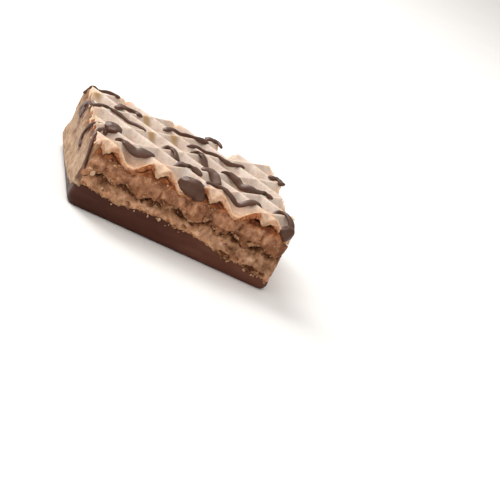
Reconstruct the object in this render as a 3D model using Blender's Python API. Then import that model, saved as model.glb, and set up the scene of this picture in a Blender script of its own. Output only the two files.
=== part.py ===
"""A square cut from a protein wafer bar.

Three waffled wafer sheets hold two layers of cream. The block is dipped in chocolate
from below and drizzled with chocolate on top. Metres, +Z up. The origin is on the
floor under the middle of the bar, the long cut face looks along -Y.
"""

import math

import bmesh
import bpy
from mathutils import Matrix, Vector, noise

MM = 0.001

# The cut block, over cream and wafer. The chocolate stands just proud of it, so the
# layers inside the chocolate are cut in a little further.
LENGTH = 50.0 * MM
WIDTH = 47.5 * MM
CORNER = 1.2 * MM
INSIDE_DIP = 0.85 * MM
RELIEF_GAP = 0.4 * MM

# Every sheet carries diamonds of ridges at 45 degrees to the cut edges.
DIAMOND = 13.3 * MM
PITCH = DIAMOND / math.sqrt(2)
RIDGE_HALF = 2.6 * MM

# Heights of the layers, from the floor up, at the bottom of a waffle pit.
DIP_FLOOR = 1.2 * MM
LOWER_SHEET = 1.5 * MM
LOWER_CREAM_TOP = 7.1 * MM
MIDDLE_SHEET = 7.4 * MM
UPPER_CREAM_TOP = 12.0 * MM
TOP_SHEET = 12.3 * MM
THIN_SHEET = 0.8 * MM
THICK_SHEET = 1.1 * MM
INNER_RIDGE = 2.5 * MM
TOP_RIDGE = 3.5 * MM

# Where the first ridge crossing of each sheet lies, from the front left corner.
LOWER_CROSSING = (10.9 * MM, 3.3 * MM)
MIDDLE_CROSSING = (7.3 * MM, 3.3 * MM)
TOP_CROSSING = (2.7 * MM, 2.1 * MM)

# The chocolate dip: how far it stands out, how thick it is and how high it climbs.
DIP_OUT = 0.2 * MM
DIP_THICKNESS = 0.6 * MM
DIP_CORNER = 2.4 * MM
DIP_LEFT = 5.6 * MM
DIP_RIGHT = 2.7 * MM
DIP_BACK_LEFT = 2.0 * MM
DIP_WAVE = 0.5 * MM
DIP_FOOT = 1.2 * MM
DIP_POINTS = 84
OVER_LIP = 0.35 * MM

# How ragged the cut sides are.
SHEET_RAGGED = 0.25 * MM
HIDDEN_RAGGED = 0.08 * MM
CREAM_RAGGED = 0.4 * MM
LOWER_BULGE = (1.0 * MM, 1.1 * MM, 0.8 * MM)
UPPER_BULGE = (0.55 * MM, 0.2 * MM, 0.0)
LUMP = 4.0 * MM
SIDE_STEP = 2.1 * MM
SHORTEST = 0.25 * MM

# Chocolate threads: width, sag over a gap, then points in mm from the front left
# corner. A third number is a height, where a thread runs down a cut face.
THREAD_SIDES = 7
THREAD_STEP = 1.25 * MM
FINE_STEP = 0.4 * MM
THREAD_LIFT = 0.12 * MM
THREAD_FLAT = 0.62
THREAD_HIGHEST = 0.5 * MM
THREADS = {
    "back_corner": (1.4, 0.05, [(-0.7, 45.0, 13.0), (-0.6, 45.2, 14.6), (0.2, 45.8, 16.4),
                                (1.6, 46.3), (3.6, 46.6), (5.5, 46.2), (7.5, 45.4)]),
    "left_loop": (1.2, 0.03, [(-0.82, 33.4, 11.3), (-0.82, 37.2, 12.0),
                              (-0.82, 36.4, 13.8), (-0.5, 32.0, 16.0), (0.8, 29.6),
                              (3.0, 30.6), (6.0, 29.8), (9.0, 28.6), (11.0, 27.4),
                              (13.2, 25.0)]),
    "left_streak": (0.9, 0.11, [(-0.9, 15.4, 9.0), (-0.9, 18.0, 10.2),
                                (-0.86, 18.7, 11.6), (-0.75, 16.8, 14.0),
                                (0.2, 15.0, 16.2), (1.8, 14.8), (3.8, 15.0)]),
    "corner_streak": (1.1, 0.11, [(-0.35, -0.35, 7.1), (-0.4, -0.3, 9.4),
                                  (-0.7, 1.6, 13.0), (-0.6, 4.4, 15.6), (0.5, 7.6, 16.6),
                                  (2.6, 11.0)]),
    "back_hump": (2.2, 0.06, [(6.3, 35.3), (7.8, 38.0), (9.6, 39.2), (11.4, 38.6),
                              (12.6, 36.9)]),
    "first_valley": (3.0, 0.11, [(4.4, 6.6), (6.2, 6.4), (8.3, 4.7), (11.0, 4.8),
                                 (13.8, 6.9)]),
    "back_run": (1.7, 0.05, [(18.6, 35.2), (20.6, 38.0), (22.8, 40.3), (25.0, 40.6),
                             (27.5, 40.2), (31.0, 41.8)]),
    "back_hook": (1.3, 0.04, [(30.0, 44.0), (32.2, 46.4), (34.0, 46.2), (34.8, 43.8)]),
    "middle_dab": (1.8, 0.11, [(16.6, 17.8), (18.4, 19.9), (20.2, 18.4), (21.2, 15.5)]),
    "long_run": (1.4, 0.05, [(24.3, 30.0), (27.1, 32.3), (30.3, 33.6), (33.0, 32.6),
                             (35.0, 31.6), (37.5, 32.5), (40.2, 35.2)]),
    "centre_dab": (2.2, 0.11, [(25.0, 26.2), (26.8, 27.2), (28.3, 26.2), (29.3, 23.0)]),
    "centre_drip": (2.4, 0.11, [(26.9, 15.5), (28.9, 15.2), (30.3, 13.2), (31.2, 10.5)]),
    "over_the_drop": (2.2, 0.11, [(18.6, 6.0), (20.6, 8.8), (22.7, 10.6), (24.6, 10.4),
                                  (26.7, 9.4)]),
    "front_wave": (1.8, 0.11, [(27.0, 3.6), (29.4, 5.0), (31.2, 5.0), (33.2, 3.5),
                               (36.0, 3.1), (38.4, 4.4), (40.8, 6.6), (42.0, 6.3)]),
    "right_wave": (2.1, 0.05, [(32.4, 19.7), (34.8, 20.5), (36.8, 19.0), (38.9, 16.5),
                               (40.9, 16.0), (43.3, 17.4), (45.6, 16.6)]),
    "right_back_dab": (1.9, 0.08, [(47.0, 35.8), (48.4, 37.0), (49.6, 36.2),
                                   (50.0, 33.8)]),
    "right_corner": (1.7, 0.08, [(44.4, 6.0), (46.2, 8.3), (47.8, 7.6), (49.2, 4.6),
                                 (49.8, 1.4)]),
}

# Drops of chocolate: centre, height above the floor and half sizes, all in mm.
DROPS = {
    "left_drop": ((4.3, 15.2, 16.4), (2.3, 3.2, 1.0)),
    "front_drop": ((23.4, 0.9, 14.4), (3.2, 2.0, 1.9)),
    "corner_drop": ((48.3, 0.5, 14.6), (1.7, 1.5, 2.0)),
    "back_drop": ((31.9, 46.0, 16.6), (1.5, 1.2, 0.8)),
}
DROP_SEGMENTS = 12
DROP_RINGS = 7

COLOURS = {
    "chocolate_base": ((0.055, 0.022, 0.015), 0.42),
    "lower_wafer": ((0.42, 0.23, 0.11), 0.85),
    "lower_cream": ((0.38, 0.21, 0.11), 0.8),
    "middle_wafer": ((0.33, 0.17, 0.08), 0.85),
    "upper_cream": ((0.29, 0.14, 0.07), 0.8),
    "top_wafer": ((0.68, 0.50, 0.34), 0.75),
}


def centred(x, y):
    """From distances to the front left corner to the bar's own frame."""
    return x - LENGTH / 2, y - WIDTH / 2


def ridge(distance):
    """Height of one family of ridges, 1 on a crest and 0 on the pit floor."""
    away = abs((distance + PITCH / 2) % PITCH - PITCH / 2)
    return max(0.0, 1.0 - away / RIDGE_HALF)


def waffle(x, y, crossing):
    """Height of the waffle pattern, from 0 to 1, at a point in the bar's frame."""
    first_x, first_y = centred(*crossing)
    across = ((x - first_x) - (y - first_y)) / math.sqrt(2)
    along = ((x - first_x) + (y - first_y)) / math.sqrt(2)
    return max(ridge(across), ridge(along))


def outline(step, inset=0.0, rounding=CORNER):
    """Points and outward normals around the cut block, its corners just rounded."""
    half_x = LENGTH / 2 - inset - rounding
    half_y = WIDTH / 2 - inset - rounding
    places = []
    corners = [(half_x, -half_y, -90), (half_x, half_y, 0),
               (-half_x, half_y, 90), (-half_x, -half_y, 180)]
    for index, (cx, cy, start) in enumerate(corners):
        for turn in (0, 45, 90):
            angle = math.radians(start + turn)
            normal = Vector((math.cos(angle), math.sin(angle)))
            places.append((Vector((cx, cy)) + rounding * normal, normal))
        nx, ny, _ = corners[(index + 1) % 4]
        begin = places[-1][0]
        end = Vector((nx, ny)) + rounding * places[-1][1]
        count = round((end - begin).length / step)
        for k in range(1, count):
            places.append((begin.lerp(end, k / count), places[-1][1]))
    return places


def rough(point, scale, seed):
    """Smooth noise between about -1 and 1, the same at every run."""
    return noise.noise(Vector((point[0] / scale, point[1] / scale, seed)))


def sheet_plane(step, inset, ragged, seed, crossing):
    """A flat sheet with a ragged rim, scored along every fold of the waffle."""
    bm = bmesh.new()
    inner = []
    outer = []
    for place, normal in outline(step, inset):
        moved = place + normal * ragged * 2 * rough(place, 1.9 * MM, seed)
        outer.append(bm.verts.new((*moved, 0)))
        inner.append(bm.verts.new((*(place - normal * CORNER), 0)))
    for k in range(len(outer)):
        after = (k + 1) % len(outer)
        bm.faces.new((outer[k], outer[after], inner[after], inner[k]))
    bm.faces.new(inner)
    bmesh.ops.remove_doubles(bm, verts=bm.verts[:], dist=0.01 * MM)

    first = Vector((*centred(*crossing), 0))
    reach = round((LENGTH + WIDTH) / DIAMOND)
    foot = RIDGE_HALF * math.sqrt(2)
    cuts = []
    for count in range(-reach, reach + 1):
        for side in (-foot, 0, foot):
            shift = Vector((count * DIAMOND + side, 0, 0))
            cuts.append((first + shift, Vector((1, 1, 0)).normalized()))
            cuts.append((first + shift, Vector((1, -1, 0)).normalized()))
        half = count * DIAMOND / 2
        cuts.append((first + Vector((half, 0, 0)), Vector((1, 0, 0))))
        cuts.append((first + Vector((0, half, 0)), Vector((0, 1, 0))))
    for place, normal in cuts:
        bmesh.ops.bisect_plane(bm, geom=bm.verts[:] + bm.edges[:] + bm.faces[:],
                               dist=0.002 * MM, plane_co=place, plane_no=normal)
    rim = [vert for vert in bm.verts if vert.is_boundary]
    bmesh.ops.remove_doubles(bm, verts=rim, dist=SHORTEST)
    return bm


def raise_waffle(bm, floor, height, crossing):
    """Lifts a scored sheet into the waffle and joins the faces of each flat."""
    for vert in bm.verts:
        vert.co.z = floor + height * waffle(vert.co.x, vert.co.y, crossing)
    bm.normal_update()
    bmesh.ops.dissolve_limit(bm, angle_limit=math.radians(0.6), verts=bm.verts[:],
                             edges=bm.edges[:], use_dissolve_boundaries=False)


def rim_loop(bm):
    """The verts of an open sheet's rim, in order."""
    edges = {edge for edge in bm.edges if edge.is_boundary}
    vert = next(iter(sorted(edges, key=lambda edge: edge.index))).verts[0]
    loop = [vert]
    while edges:
        edge = next((e for e in vert.link_edges if e in edges), None)
        if edge is None:
            break
        edges.remove(edge)
        vert = edge.other_vert(vert)
        loop.append(vert)
    return loop[:-1]


def outward(co):
    """The way out of the block at a point near its rim."""
    reach_x = abs(co.x) - (LENGTH / 2 - CORNER)
    reach_y = abs(co.y) - (WIDTH / 2 - CORNER)
    way = Vector((max(reach_x, 0) * (1 if co.x > 0 else -1),
                  max(reach_y, 0) * (1 if co.y > 0 else -1), 0))
    return way.normalized()


def finish(bm, name):
    """Triangulates a closed mesh, gives it its material and puts it in the scene."""
    bmesh.ops.triangulate(bm, faces=bm.faces[:])
    bmesh.ops.recalc_face_normals(bm, faces=bm.faces[:])
    mesh = bpy.data.meshes.new(name)
    bm.to_mesh(mesh)
    bm.free()
    obj = bpy.data.objects.new(name, mesh)
    bpy.context.scene.collection.objects.link(obj)
    if name in COLOURS:
        mesh.materials.append(material(name))
    return obj


def material(name):
    """A plain Principled material in the colour of one layer."""
    colour, roughness = COLOURS[name]
    made = bpy.data.materials.new(name)
    made.use_nodes = True
    shader = made.node_tree.nodes["Principled BSDF"]
    shader.inputs["Base Color"].default_value = (*colour, 1)
    shader.inputs["Roughness"].default_value = roughness
    return made


def wafer(name, floor, thickness, height, crossing, inset, seed):
    """A waffled sheet of even thickness, hollow under its ridges."""
    ragged = HIDDEN_RAGGED if inset else SHEET_RAGGED
    bm = sheet_plane(SIDE_STEP, inset, ragged, seed, crossing)
    raise_waffle(bm, floor, height, crossing)
    raised = bmesh.ops.extrude_face_region(bm, geom=bm.faces[:])["geom"]
    for item in raised:
        if isinstance(item, bmesh.types.BMVert):
            item.co.z += thickness
    return finish(bm, name)


def cream(name, sheet_top, top, crossing, inset, bulges, seed):
    """Filling that fits the waffle below it, flat above, with lumpy cut sides.

    With an inset it starts inside the chocolate and comes out flush above the lip."""
    ragged = HIDDEN_RAGGED if inset else SHEET_RAGGED
    bm = sheet_plane(SIDE_STEP, inset, ragged, seed, crossing)
    raise_waffle(bm, sheet_top + RELIEF_GAP, INNER_RIDGE, crossing)
    rows = [rim_loop(bm)]
    if inset:
        rows.append([bm.verts.new((vert.co.x, vert.co.y, over_lip(vert.co)))
                     for vert in rows[0]])
    start = rows[-1]
    for index, bulge in enumerate(bulges):
        share = (index + 1) / len(bulges)
        row = []
        for vert in start:
            lump = CREAM_RAGGED * (1 - share ** 4) * rough(vert.co, LUMP, seed + 3 * share)
            out = inset + bulge * left_share(vert.co) + lump
            place = vert.co + outward(vert.co) * out
            place.z += share * (top - vert.co.z)
            row.append(bm.verts.new(place))
        rows.append(row)
    close_rows(bm, rows)
    return finish(bm, name)


def over_lip(place):
    """How high a filling inside the chocolate rises before it may come out."""
    return max(place.z + SHORTEST, dip_height(place) + OVER_LIP)


def left_share(place):
    """How much the cream is squeezed out: most at the back of the left end."""
    left = max(0.0, -place.x / (LENGTH / 2))
    return left ** 4 * (0.6 + 0.4 * place.y / (WIDTH / 2))


def close_rows(bm, rows):
    """Joins rows of verts into a wall and caps the last row."""
    for low, high in zip(rows, rows[1:]):
        for k in range(len(low)):
            after = (k + 1) % len(low)
            bm.faces.new((low[k], low[after], high[after], high[k]))
    bm.faces.new(rows[-1])


def dip_height(place):
    """How high the chocolate has climbed: high at the front left, low to the right."""
    along = place.x / LENGTH + 0.5
    across = place.y / WIDTH + 0.5
    front = DIP_LEFT + (DIP_RIGHT - DIP_LEFT) * along
    back = DIP_BACK_LEFT + (DIP_LEFT - DIP_BACK_LEFT) * along * 0.5
    end_fall = (DIP_BACK_LEFT - front) * max(0.0, 1 - along * 9) * min(1.0, across * 5)
    wave = math.sin(math.tau * along * 4.3 + 1.3) + 0.6 * math.sin(math.tau * along * 7.1)
    swell = math.sin(math.tau * across * 2.7 + 0.6)
    level = front + (back - front) * across + end_fall * (1 - across)
    return max(1.9 * MM, level + DIP_WAVE * (wave * 0.7 + swell * 0.4))


def chocolate_base(name):
    """The dipped base: a flat floor and a wavy wall around the cut sides."""
    bm = bmesh.new()
    outside = DIP_OUT
    inside = DIP_OUT - DIP_THICKNESS
    profile = [(outside - 1.3 * DIP_FOOT, 0.0, 0.0),
               (outside - 0.4 * DIP_FOOT, 0.25 * DIP_FOOT, 0.0),
               (outside, DIP_FOOT, 0.0),
               (outside, 0.0, 0.62),
               (outside - 0.1 * DIP_THICKNESS, -0.3 * MM, 1.0),
               (inside + 0.35 * DIP_THICKNESS, 0.0, 1.0),
               (inside, -0.3 * MM, 1.0),
               (inside, DIP_FLOOR, 0.0)]
    perimeter = 2 * (LENGTH + WIDTH)
    rows = []
    for out, lift, share in profile:
        row = []
        for place, normal in outline(perimeter / DIP_POINTS, 0.0, DIP_CORNER):
            at = place + normal * out
            row.append(bm.verts.new((*at, lift + share * dip_height(place))))
        rows.append(row)
    close_rows(bm, rows)
    bm.faces.new(rows[0])
    return finish(bm, name)


def thread_curve(points):
    """A smooth curve through a thread's points: places, and heights where given."""
    curve = []
    for k in range(len(points) - 1):
        around = [points[max(k - 1, 0)], points[k], points[k + 1],
                  points[min(k + 2, len(points) - 1)]]
        x0, x1, x2, x3 = (Vector(point[:2]) * MM for point in around)
        steps = max(2, round((x2 - x1).length / FINE_STEP))
        for step in range(steps):
            t = step / steps
            place = 0.5 * (2 * x1 + (x2 - x0) * t + (2 * x0 - 5 * x1 + 4 * x2 - x3) * t ** 2
                           + (3 * x1 - x0 - 3 * x2 + x3) * t ** 3)
            height = None
            if len(points[k]) == 3:
                after = points[k + 1][2] if len(points[k + 1]) == 3 else points[k][2]
                height = (points[k][2] * (1 - t) + after * t) * MM
            curve.append((Vector(centred(*place)), height))
    curve.append((Vector(centred(*(Vector(points[-1][:2]) * MM))), None))
    return curve


def thread_path(points, sag):
    """Lays a thread over the top wafer: it bends over crests and sags between."""
    curve = thread_curve(points)
    length = [0.0]
    for (before, _), (after, _) in zip(curve, curve[1:]):
        length.append(length[-1] + (after - before).length)
    hung = []
    for k, (_, height) in enumerate(curve):
        if height is None:
            height = max(top_surface(*place) - sag / MM * (length[k] - length[j]) ** 2
                         for j, (place, given) in enumerate(curve) if given is None)
        hung.append(height)
    path = []
    for k, (place, _) in enumerate(curve):
        weights = [math.exp(-((along - length[k]) / (2 * FINE_STEP)) ** 2)
                   for along in length]
        height = sum(w * z for w, z in zip(weights, hung)) / sum(weights)
        spot = Vector((*place, height + THREAD_LIFT))
        if not path or (spot - path[-1]).length >= THREAD_STEP:
            path.append(spot)
    return path


def top_surface(x, y):
    """Height of the top wafer's upper side above the floor."""
    return TOP_SHEET + THICK_SHEET + TOP_RIDGE * waffle(x, y, TOP_CROSSING)


def thread(name, width, sag, points):
    """A flattened tube of chocolate with rounded ends."""
    path = thread_path(points, sag)
    bm = bmesh.new()
    rows = []
    half = width * MM / 2
    high = min(THREAD_FLAT * half, THREAD_HIGHEST)
    for k, place in enumerate(path):
        ahead = (path[min(k + 1, len(path) - 1)] - path[max(k - 1, 0)]).normalized()
        beyond = max(0.0, -place.x - LENGTH / 2) / THREAD_LIFT
        facing = Vector((-beyond, 0, 1))
        side = ahead.cross(facing).normalized()
        top = side.cross(ahead)
        swell = 0.55 if k in (0, len(path) - 1) else 1 + 0.16 * rough(place, 2.3 * MM, 9.0)
        row = []
        for corner in range(THREAD_SIDES):
            angle = math.tau * corner / THREAD_SIDES
            round_off = side * half * math.cos(angle) + top * high * math.sin(angle)
            row.append(bm.verts.new(place + swell * round_off))
        rows.append(row)
    close_rows(bm, rows)
    bm.faces.new(rows[0])
    return finish(bm, name)


def drop(name, centre, half_sizes):
    """A drop of chocolate that has run a little."""
    bm = bmesh.new()
    bmesh.ops.create_uvsphere(bm, u_segments=DROP_SEGMENTS, v_segments=DROP_RINGS, radius=1)
    x, y = centred(centre[0] * MM, centre[1] * MM)
    for vert in bm.verts:
        swell = 1 + 0.14 * noise.noise(vert.co * 1.7 + Vector(centre))
        vert.co = Vector((x, y, centre[2] * MM)) + Vector(
            vert.co[axis] * half_sizes[axis] * MM * swell for axis in range(3))
    return finish(bm, name)


def fuse(base, pieces):
    """Joins the chocolate on top to the wafer it lies on, as one solid."""
    group = bpy.data.collections.new("drizzle")
    bpy.context.scene.collection.children.link(group)
    for piece in pieces:
        bpy.context.scene.collection.objects.unlink(piece)
        group.objects.link(piece)
    union = base.modifiers.new("drizzle", "BOOLEAN")
    union.operation = "UNION"
    union.operand_type = "COLLECTION"
    union.collection = group
    union.solver = "MANIFOLD"
    evaluated = base.evaluated_get(bpy.context.evaluated_depsgraph_get())
    joined = bpy.data.meshes.new_from_object(evaluated)
    base.modifiers.clear()
    base.data = joined
    for piece in pieces:
        bpy.data.objects.remove(piece)
    bpy.data.collections.remove(group)
    joined.materials.clear()
    joined.materials.append(material(base.name))


def centre_on_origin():
    """Moves the finished bar until its overall box stands centred on the origin."""
    places = [vert.co for obj in bpy.data.objects for vert in obj.data.vertices]
    low_x, high_x = min(co.x for co in places), max(co.x for co in places)
    low_y, high_y = min(co.y for co in places), max(co.y for co in places)
    shift = Vector((-(low_x + high_x) / 2, -(low_y + high_y) / 2, 0))
    for obj in bpy.data.objects:
        obj.data.transform(Matrix.Translation(shift))


def build():
    """Makes the six layers from the floor up."""
    for obj in list(bpy.data.objects):
        bpy.data.objects.remove(obj)
    chocolate_base("chocolate_base")
    wafer("lower_wafer", LOWER_SHEET, THIN_SHEET, INNER_RIDGE, LOWER_CROSSING,
          INSIDE_DIP, 1.0)
    cream("lower_cream", LOWER_SHEET + THIN_SHEET, LOWER_CREAM_TOP, LOWER_CROSSING,
          INSIDE_DIP, LOWER_BULGE, 2.0)
    wafer("middle_wafer", MIDDLE_SHEET, THIN_SHEET, INNER_RIDGE, MIDDLE_CROSSING, 0, 3.0)
    cream("upper_cream", MIDDLE_SHEET + THIN_SHEET, UPPER_CREAM_TOP, MIDDLE_CROSSING,
          0, UPPER_BULGE, 4.0)
    top = wafer("top_wafer", TOP_SHEET, THICK_SHEET, TOP_RIDGE, TOP_CROSSING, 0, 5.0)
    pieces = [thread(name, *values) for name, values in THREADS.items()]
    pieces += [drop(name, *values) for name, values in DROPS.items()]
    fuse(top, pieces)
    centre_on_origin()


build()
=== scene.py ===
import math
import random

import bpy
from mathutils import Euler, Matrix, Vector, noise


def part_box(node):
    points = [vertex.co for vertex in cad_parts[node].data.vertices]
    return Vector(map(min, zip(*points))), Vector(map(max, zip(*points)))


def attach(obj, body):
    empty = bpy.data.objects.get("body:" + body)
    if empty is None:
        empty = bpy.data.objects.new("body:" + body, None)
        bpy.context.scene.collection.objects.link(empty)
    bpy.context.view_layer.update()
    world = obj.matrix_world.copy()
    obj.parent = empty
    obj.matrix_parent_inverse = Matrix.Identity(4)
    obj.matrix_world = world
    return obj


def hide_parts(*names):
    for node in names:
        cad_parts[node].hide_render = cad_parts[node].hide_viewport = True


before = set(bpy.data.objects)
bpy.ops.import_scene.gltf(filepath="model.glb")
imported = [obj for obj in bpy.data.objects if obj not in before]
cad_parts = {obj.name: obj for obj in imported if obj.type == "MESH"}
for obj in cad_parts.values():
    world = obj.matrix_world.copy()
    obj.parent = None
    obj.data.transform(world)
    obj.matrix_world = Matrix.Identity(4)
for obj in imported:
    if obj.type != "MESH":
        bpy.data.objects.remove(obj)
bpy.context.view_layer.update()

# The table, the light and the camera ------
# A matt white table top, wider than the view. A large soft panel stands low behind the
# bar to the left, as window light. A weak one in front opens the shaded cut face, and a
# third, overhead, opens the pits of the top sheet.
MM = 0.001
TABLE_SIZE = 4.0
WINDOW = ((-0.30, 0.42, 0.40), (0.40, 0.40), 4.1, (1.0, 0.985, 0.96))
FILL = ((-0.30, -0.60, 0.30), (0.50, 0.40), 0.89, (1.0, 0.97, 0.94))
CEILING = ((0.0, 0.06, 0.55), (0.50, 0.50), 0.80, (1.0, 0.97, 0.93))
ROOM_LIGHT = 0.56
ROOM_COLOUR = (1.0, 0.96, 0.91)
DIP_LOW, DIP_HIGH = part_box("chocolate_base")
BLOCK_MIDDLE = Vector(((DIP_LOW.x + DIP_HIGH.x) / 2, (DIP_LOW.y + DIP_HIGH.y) / 2, 0.0))
CAMERA_PLACE = BLOCK_MIDDLE + Vector((-109.76, -558.95, 145.15)) * MM
CAMERA_TURN = (74.22, -26.93, -6.076)
CAMERA_LENS = 180.0
CAMERA_SENSOR = 36.0
CAMERA_REACH = 20.0


def soft_panel(name, place, size, power, colour):
    """A flat lamp aimed at the middle of the bar."""
    bpy.ops.object.light_add(type="AREA", location=place)
    lamp = bpy.context.object
    lamp.name = name
    lamp.data.shape = "RECTANGLE"
    lamp.data.size, lamp.data.size_y = size
    lamp.data.energy = power
    lamp.data.color = colour
    lamp.rotation_euler = (-Vector(place)).to_track_quat("-Z", "Y").to_euler()


def plug(node, sockets):
    """Fills sockets of a node: each gets a value, a colour or another node's output."""
    for key, value in sockets.items():
        if isinstance(value, bpy.types.NodeSocket):
            node.id_data.links.new(value, node.inputs[key])
        elif node.inputs[key].type == "RGBA":
            node.inputs[key].default_value = (*value, 1.0)
        else:
            node.inputs[key].default_value = value
    return node


def add_node(source, kind, sockets):
    """A new node in the same tree as its source, with some sockets filled."""
    return plug(source.id_data.nodes.new(kind), sockets)


def finish_of(name, roughness, shine=0.5):
    """A new node material: the material, its shader and its object coordinates."""
    made = bpy.data.materials.new(name)
    made.use_nodes = True
    shader = plug(made.node_tree.nodes["Principled BSDF"],
                  {"Roughness": roughness, "Specular IOR Level": shine})
    return made, shader, add_node(shader, "ShaderNodeTexCoord", {}).outputs["Object"]


def grain(where, size, detail=4.0, roughness=0.55, stretch=(1, 1, 1)):
    """Noise whose blotches are about size across, in metres."""
    spread = add_node(where, "ShaderNodeMapping", {"Vector": where, "Scale": stretch})
    return add_node(where, "ShaderNodeTexNoise", {
        "Vector": spread.outputs["Vector"], "Scale": 1.0 / size, "Detail": detail,
        "Roughness": roughness}).outputs["Fac"]


def ramp(value, *stops):
    """Colours along a value: each stop is a position and a colour, or a grey."""
    node = add_node(value, "ShaderNodeValToRGB", {"Fac": value})
    elements = node.color_ramp.elements
    elements.remove(elements[1])
    for index, (position, colour) in enumerate(stops):
        stop = elements.new(position) if index else elements[0]
        stop.position = position
        stop.color = (*(colour if isinstance(colour, tuple) else [colour] * 3), 1.0)
    return node.outputs["Color"]


bpy.ops.object.select_all(action="DESELECT")
bpy.ops.mesh.primitive_plane_add(size=TABLE_SIZE)
table = bpy.context.object
table.name = "table_top"
made, shader, where = finish_of("white table top", 0.6)
plug(shader, {"Base Color": ramp(grain(where, 20 * MM), (0.3, 0.95), (0.7, 0.97))})
table.data.materials.append(made)

soft_panel("window", *WINDOW)
soft_panel("fill", *FILL)
soft_panel("ceiling", *CEILING)
room = bpy.data.worlds.new("room")
bpy.context.scene.world = room
room.use_nodes = True
plug(room.node_tree.nodes["Background"], {"Color": ROOM_COLOUR, "Strength": ROOM_LIGHT})

bpy.ops.object.camera_add(
    location=CAMERA_PLACE, rotation=[math.radians(angle) for angle in CAMERA_TURN])
camera = bpy.context.object
camera.data.lens = CAMERA_LENS
camera.data.sensor_width = CAMERA_SENSOR
camera.data.clip_end = CAMERA_REACH
bpy.context.scene.camera = camera
bpy.context.scene.view_settings.view_transform = "Standard"


# The chocolate base ----------------------
# The block was dipped in melted dark chocolate, which set as a shallow cup around its
# foot: high at the front left, low at the back and to the right, with a wavy lip.
LENGTH = 50.0 * MM
WIDTH = 47.5 * MM
CORNER = 1.2 * MM
DIP_OUT = 0.2 * MM
DIP_THICK = 0.6 * MM
DIP_CORNER = 2.4 * MM
DIP_FOOT = 1.2 * MM
DIP_FLOOR = 1.2 * MM
FOOT_TURNS = (15, 35, 55, 75, 90)
WALL_ROWS = 12
LIP_ROLL = 0.3 * MM
LIP_RAGGED = 0.28 * MM
LIP_RAGGED_SIZE = 1.1 * MM
FLOW_DEPTH = 0.12 * MM
FLOW_SIZE = 5 * MM
CORNER_CUTS = 6
SIDE_CUTS = 100
LONG_EDGE = 5 * MM
FRONT_LIP = (5.5, 5.35, 5.0, 4.7, 4.1, 4.7, 5.35, 5.5, 5.6, 5.5, 4.9, 5.25, 4.9, 4.5,
             4.0, 3.2, 3.6, 3.4, 2.7, 2.6, 2.3)
LEFT_LIP = (4.9, 3.0, 2.2, 1.9, 1.8, 1.7, 1.9)
RIGHT_LIP = (2.3, 2.5, 2.4, 2.9, 3.3, 3.1, 3.6)
BACK_LIP = (1.9, 2.3, 2.2, 2.8, 2.6, 3.3, 3.2, 3.6)


def go_to(mode):
    """Goes to edit mode or back to object mode."""
    bpy.ops.object.mode_set(mode=mode)


def ring_of_edges(name, rounding):
    """A fine ring of edges around the cut block, left in edit mode and selected."""
    bpy.ops.object.select_all(action="DESELECT")
    bpy.ops.mesh.primitive_plane_add(size=2)
    piece = bpy.context.object
    piece.name = name
    go_to("EDIT")
    bpy.ops.transform.resize(value=(LENGTH / 2, WIDTH / 2, 1))
    bpy.ops.mesh.bevel(offset=rounding, segments=CORNER_CUTS, affect="VERTICES")
    bpy.ops.mesh.delete(type="ONLY_FACE")
    bpy.ops.mesh.select_mode(type="EDGE")
    bpy.ops.mesh.select_all(action="DESELECT")
    go_to("OBJECT")
    for edge in piece.data.edges:
        first, second = (piece.data.vertices[index].co for index in edge.vertices)
        edge.select = (first - second).length > LONG_EDGE
    go_to("EDIT")
    bpy.ops.mesh.subdivide(number_cuts=SIDE_CUTS)
    bpy.ops.mesh.subdivide(number_cuts=1)
    bpy.ops.mesh.select_mode(type="VERT")
    bpy.ops.mesh.select_all(action="SELECT")
    return piece


def stack_rings(piece, profile, rounding):
    """Extrudes a ring upwards, one row for each entry of a profile, and caps both ends.

    An entry gives how far out and how high its row lies at a point of the outline."""
    for _ in profile[1:]:
        bpy.ops.mesh.extrude_region_move(TRANSFORM_OT_translate={"value": (0, 0, 1)})
    bpy.ops.mesh.edge_face_add()
    go_to("OBJECT")
    for vert in piece.data.vertices:
        vert.select = vert.co.z < 0.5
    go_to("EDIT")
    bpy.ops.mesh.edge_face_add()
    go_to("OBJECT")
    for vert in piece.data.vertices:
        place = Vector((vert.co.x, vert.co.y, 0))
        out, height = profile[round(vert.co.z)](place)
        vert.co = place + outward(place, rounding) * out + Vector((0, 0, height))
    point_outwards(piece)


def point_outwards(piece):
    """Turns every face of a closed piece to the outside."""
    go_to("EDIT")
    bpy.ops.mesh.select_all(action="SELECT")
    bpy.ops.mesh.normals_make_consistent(inside=False)
    bpy.ops.mesh.select_all(action="DESELECT")
    go_to("OBJECT")
    bpy.ops.object.shade_smooth()


def set_down(piece, finish):
    """Moves a piece, shaped around the block's own middle, to where the bar stands, and
    gives it its finish."""
    piece.data.materials.append(finish)
    bpy.ops.object.select_all(action="DESELECT")
    piece.select_set(True)
    bpy.context.view_layer.objects.active = piece
    bpy.ops.transform.translate(value=BLOCK_MIDDLE)
    bpy.ops.object.transform_apply(location=True, rotation=True, scale=True)


def from_core(place, rounding=CORNER):
    """The level way to a point near the side, from the block less its rounding."""
    core_x = max(rounding - LENGTH / 2, min(LENGTH / 2 - rounding, place.x))
    core_y = max(rounding - WIDTH / 2, min(WIDTH / 2 - rounding, place.y))
    return Vector((place.x - core_x, place.y - core_y, 0))


def outward(place, rounding=CORNER):
    """The level direction out of the block at a point near its side."""
    return from_core(place, rounding).normalized()


def wobble(place, size, octaves=3, seed=0.0):
    """Smooth noise from about -1 to 1 with blotches of a size in metres."""
    return noise.fractal(Vector(place) / size + Vector((seed, seed, seed)), 0.9, 2.0, octaves)


def smooth(low, high, value):
    """0 below low, 1 above high, and an even curve between."""
    share = max(0.0, min(1.0, (value - low) / (high - low)))
    return share * share * (3 - 2 * share)


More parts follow.
